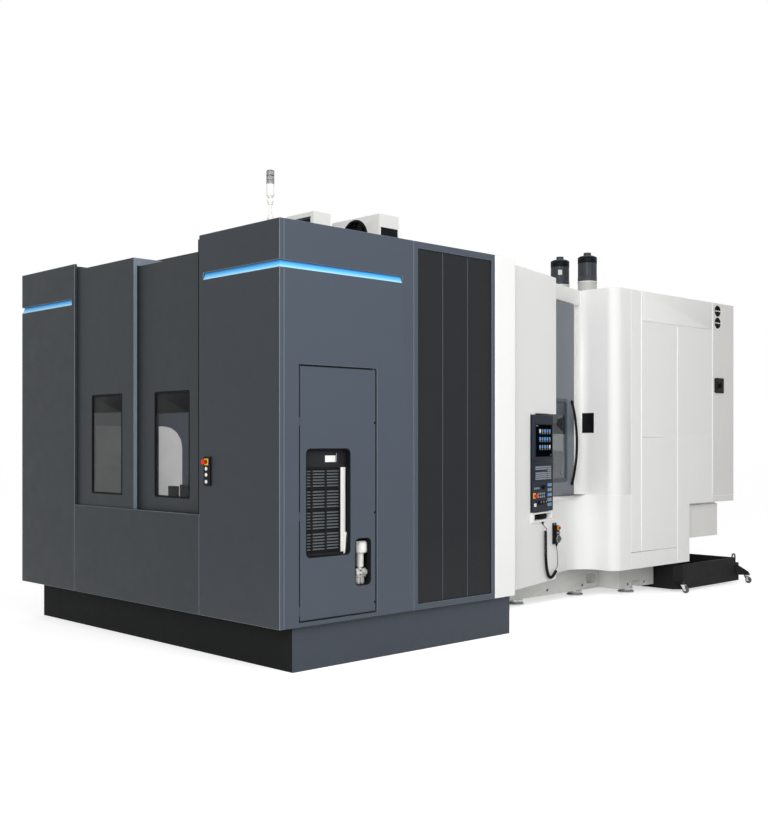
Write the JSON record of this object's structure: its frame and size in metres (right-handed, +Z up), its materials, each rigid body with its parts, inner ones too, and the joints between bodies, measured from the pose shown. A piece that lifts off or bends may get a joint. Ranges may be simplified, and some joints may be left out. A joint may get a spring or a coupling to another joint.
{
  "type": "horizontal machining center",
  "caption": "Enclosed horizontal machining center with a turning pallet changer, sliding setup and operator doors, a swivelling console, a portal column and a coolant tank on casters.",
  "frame": {"origin": "middle of the floor plan, on the floor", "axes": "+X to the machine's right as one faces the setup doors, +Y from the setup doors to the back, +Z up"},
  "size_m": [3.88, 7.295, 3.863],
  "materials": {
    "dark_paint": "fine-textured satin graphite paint",
    "panel_paint": "matt anthracite paint",
    "plinth_paint": "satin dark grey paint",
    "white_paint": "fine-textured satin white paint",
    "door_paint": "satin grey paint",
    "casting_paint": "satin white machine enamel",
    "steel": "ground steel",
    "black_paint": "satin black paint",
    "black_plastic": "moulded black plastic",
    "console_plastic": "blue-grey moulded panel",
    "white_plastic": "moulded white plastic",
    "red_plastic": "moulded red plastic",
    "light": "lit blue diffuser",
    "screen": "glossy touch screen",
    "pane": "smoked safety glass",
    "rubber": "black rubber",
    "wheel": "grey caster tyre"
  },
  "bodies": {
    "machine_frame": {"front_plinth": "plinth_paint", "bed_casting": "casting_paint", "column_front_cover": "dark_paint", "left_side_cover": "dark_paint", "tower_front_cover": "dark_paint", "tower_side_cover": "dark_paint", "front_skirt": "dark_paint", "side_panels": "panel_paint", "light_bars": "light", "corner_post": "white_paint", "console_wall": "white_paint", "door_frame": "white_paint", "curved_apron": "white_paint", "rear_side_cover": "white_paint", "rear_left_cover": "white_paint", "control_cabinet": "white_paint", "hydraulic_unit": "white_paint", "roof_panels": "dark_paint", "roof_coolers": "white_paint", "stack_light": "white_plastic", "oil_cooler": "black_paint", "air_service_unit": "white_plastic", "setup_control_box": "black_plastic", "console_mount": "white_paint", "pendant_cord": "rubber", "pendant_body": "black_plastic"},
    "access_door": {"access_door": "dark_paint"},
    "cooler_fan": {"cooler_fan": "black_plastic"},
    "setup_estop": {"setup_estop": "red_plastic"},
    "setup_button_top": {"setup_button_top": "white_plastic"},
    "setup_button_middle": {"setup_button_middle": "white_plastic"},
    "setup_button_bottom": {"setup_button_bottom": "white_plastic"},
    "setup_door_left": {"setup_door_left": "dark_paint", "setup_window_left": "pane"},
    "setup_door_right": {"setup_door_right": "dark_paint", "setup_window_right": "pane"},
    "operator_door": {"operator_door": "door_paint", "operator_window": "pane", "operator_handle": "black_paint"},
    "console": {"console_housing": "console_plastic", "console_screen": "screen"},
    "console_estop": {"console_estop": "red_plastic"},
    "console_knob": {"console_knob": "black_plastic"},
    "pendant_dial": {"pendant_dial": "black_plastic"},
    "pendant_estop": {"pendant_estop": "red_plastic"},
    "main_switch": {"main_switch_knob": "black_plastic"},
    "coolant_tank": {"coolant_tank": "black_paint"},
    "caster_fork_front": {"caster_fork_front": "steel"},
    "caster_wheel_front": {"caster_wheel_front": "wheel"},
    "caster_fork_rear": {"caster_fork_rear": "steel"},
    "caster_wheel_rear": {"caster_wheel_rear": "wheel"},
    "column": {"column": "casting_paint", "y_axis_drives": "black_paint"},
    "spindle_head": {"spindle_head": "casting_paint"},
    "spindle": {"spindle": "steel"},
    "rotary_table": {"rotary_table": "casting_paint"},
    "work_pallet": {"work_pallet": "steel"},
    "changer_lift": {"changer_lift": "steel"},
    "pallet_changer": {"pallet_changer": "casting_paint", "setup_pallet": "steel"}
  },
  "joints": [
    {"name": "access_door_hinge", "type": "hinge", "parent": "machine_frame", "child": "access_door", "pos_m": [1.934, -3.4175, 1], "axis": [0, 0, -1], "range_deg": [0, 90]},
    {"name": "setup_left_slide", "type": "slide", "parent": "machine_frame", "child": "setup_door_left", "axis": [-1, 0, 0], "range_m": [0, 0.88]},
    {"name": "setup_right_slide", "type": "slide", "parent": "machine_frame", "child": "setup_door_right", "axis": [-1, 0, 0], "range_m": [0, 1.76]},
    {"name": "operator_door_slide", "type": "slide", "parent": "machine_frame", "child": "operator_door", "axis": [0.2588, -0.9659, 0], "range_m": [0, 0.8]},
    {"name": "console_swivel", "type": "hinge", "parent": "machine_frame", "child": "console", "pos_m": [1.63467, -0.4219, 1.4], "axis": [0, 0, -1], "range_deg": [0, 80]},
    {"name": "console_estop_press", "type": "slide", "parent": "console", "child": "console_estop", "axis": [-0.9659, -0.2588, 0], "range_m": [0, 0.004], "stiffness_N_per_m": 900},
    {"name": "console_knob_turn", "type": "hinge", "parent": "console", "child": "console_knob", "pos_m": [1.59048, -0.20287, 1.222], "axis": [-0.9659, -0.2588, 0], "range_deg": [-150, 150]},
    {"name": "pendant_dial_turn", "type": "hinge", "parent": "machine_frame", "child": "pendant_dial", "pos_m": [1.53098, 0.10419, 0.72], "axis": [-0.9659, -0.2588, 0], "continuous": true},
    {"name": "pendant_estop_press", "type": "slide", "parent": "machine_frame", "child": "pendant_estop", "axis": [-0.9659, -0.2588, 0], "range_m": [0, 0.004], "stiffness_N_per_m": 900},
    {"name": "setup_estop_press", "type": "slide", "parent": "machine_frame", "child": "setup_estop", "axis": [0, 1, 0], "range_m": [0, 0.004], "stiffness_N_per_m": 900},
    {"name": "setup_button_top_press", "type": "slide", "parent": "machine_frame", "child": "setup_button_top", "axis": [0, 1, 0], "range_m": [0, 0.003], "stiffness_N_per_m": 900},
    {"name": "setup_button_middle_press", "type": "slide", "parent": "machine_frame", "child": "setup_button_middle", "axis": [0, 1, 0], "range_m": [0, 0.003], "stiffness_N_per_m": 900},
    {"name": "setup_button_bottom_press", "type": "slide", "parent": "machine_frame", "child": "setup_button_bottom", "axis": [0, 1, 0], "range_m": [0, 0.003], "stiffness_N_per_m": 900},
    {"name": "main_switch_turn", "type": "hinge", "parent": "machine_frame", "child": "main_switch", "pos_m": [1.52, 3.0875, 2.277], "axis": [1, 0, 0], "range_deg": [0, 90]},
    {"name": "tank_slide", "type": "slide", "parent": "machine_frame", "child": "coolant_tank", "axis": [1, 0, 0], "range_m": [0, 0.7]},
    {"name": "front_caster_swivel", "type": "hinge", "parent": "coolant_tank", "child": "caster_fork_front", "pos_m": [1.545, 2.3025, 0.095], "axis": [0, 0, 1], "continuous": true},
    {"name": "front_caster_roll", "type": "hinge", "parent": "caster_fork_front", "child": "caster_wheel_front", "pos_m": [1.573, 2.3025, 0.0375], "axis": [0, 1, 0], "continuous": true},
    {"name": "rear_caster_swivel", "type": "hinge", "parent": "coolant_tank", "child": "caster_fork_rear", "pos_m": [1.582, 3.6025, 0.095], "axis": [0, 0, 1], "continuous": true},
    {"name": "rear_caster_roll", "type": "hinge", "parent": "caster_fork_rear", "child": "caster_wheel_rear", "pos_m": [1.61, 3.6025, 0.0375], "axis": [0, 1, 0], "continuous": true},
    {"name": "fan_spin", "type": "hinge", "parent": "machine_frame", "child": "cooler_fan", "pos_m": [0.8, -1.8475, 3.42], "axis": [0, 1, 0], "continuous": true},
    {"name": "column_x_axis", "type": "slide", "parent": "machine_frame", "child": "column", "axis": [1, 0, 0], "range_m": [-0.7, 0.7]},
    {"name": "head_y_axis", "type": "slide", "parent": "column", "child": "spindle_head", "axis": [0, 0, 1], "range_m": [-0.6, 0.7]},
    {"name": "spindle_spin", "type": "hinge", "parent": "spindle_head", "child": "spindle", "pos_m": [0, 1.1025, 1.8], "axis": [0, 1, 0], "continuous": true},
    {"name": "table_z_axis", "type": "slide", "parent": "machine_frame", "child": "rotary_table", "axis": [0, 1, 0], "range_m": [-1.1, 0.2]},
    {"name": "pallet_b_axis", "type": "hinge", "parent": "rotary_table", "child": "work_pallet", "pos_m": [0, 0.3525, 1], "axis": [0, 0, 1], "continuous": true},
    {"name": "changer_lift", "type": "slide", "parent": "machine_frame", "child": "changer_lift", "axis": [0, 0, 1], "range_m": [0, 0.06]},
    {"name": "changer_turn", "type": "hinge", "parent": "changer_lift", "child": "pallet_changer", "pos_m": [0, -1.6475, 0.9], "axis": [0, 0, 1], "range_deg": [0, 180]}
  ],
  "couplings": [
    {"joint": "setup_right_slide", "follows": "setup_left_slide", "ratio": 2}
  ]
}
